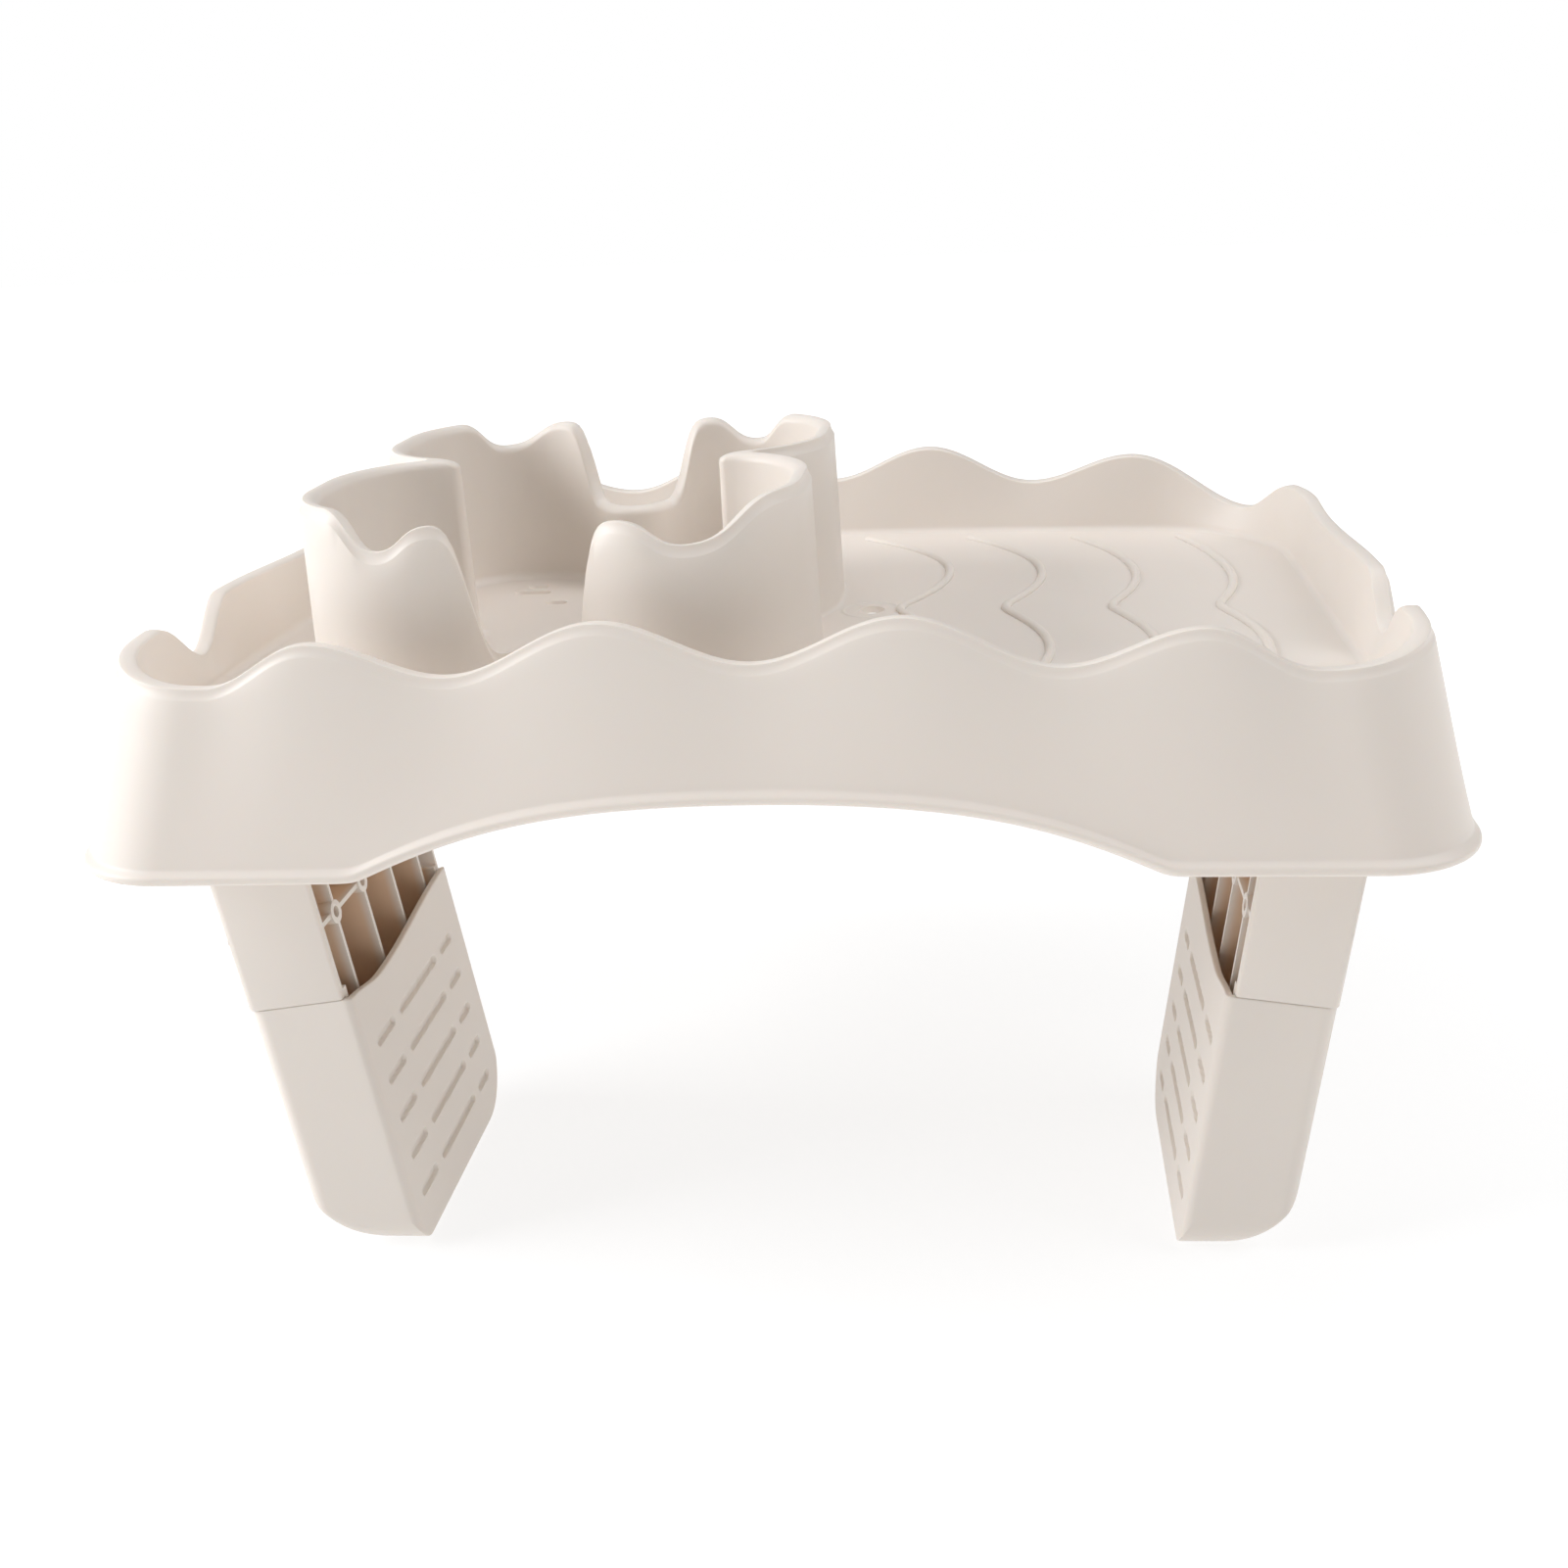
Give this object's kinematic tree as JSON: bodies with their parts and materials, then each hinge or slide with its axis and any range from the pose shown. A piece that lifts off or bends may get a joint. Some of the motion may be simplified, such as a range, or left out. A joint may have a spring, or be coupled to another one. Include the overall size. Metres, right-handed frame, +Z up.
{
  "type": "hot tub tray",
  "caption": "Moulded tray that straddles the wall of a hot tub, with a lobed cup ring, a snack area with wavy ridges, a flared skirt with an arched edge, and leaning legs with sleeves.",
  "frame": {"origin": "centre of the bounding box in X and Y, at the level of the feet", "axes": "+X along the length, with the cup ring on the -X side; +Y away from the user, the front with the legs being -Y; +Z up"},
  "size_m": [0.5256, 0.3839, 0.3158],
  "materials": {
    "tray": "satin",
    "left_leg": "satin",
    "right_leg": "satin",
    "screw_left_1": "satin",
    "screw_left_2": "satin",
    "screw_left_3": "satin",
    "screw_left_4": "satin",
    "screw_right_1": "satin",
    "screw_right_2": "satin",
    "screw_right_3": "satin",
    "screw_right_4": "satin",
    "left_sleeve": "satin",
    "right_sleeve": "satin"
  },
  "bodies": {
    "base": {"tray": "tray", "left_leg": "left_leg", "right_leg": "right_leg", "screw_left_1": "screw_left_1", "screw_left_2": "screw_left_2", "screw_left_3": "screw_left_3", "screw_left_4": "screw_left_4", "screw_right_1": "screw_right_1", "screw_right_2": "screw_right_2", "screw_right_3": "screw_right_3", "screw_right_4": "screw_right_4"},
    "left_sleeve_body": {"left_sleeve": "left_sleeve"},
    "right_sleeve_body": {"right_sleeve": "right_sleeve"}
  },
  "joints": [
    {"name": "left_sleeve_slide", "type": "slide", "parent": "base", "child": "left_sleeve_body", "axis": [0.1376, 0, -0.9905], "range_m": [0, 0.13]},
    {"name": "right_sleeve_slide", "type": "slide", "parent": "base", "child": "right_sleeve_body", "axis": [-0.1376, 0, -0.9905], "range_m": [0, 0.13]}
  ]
}
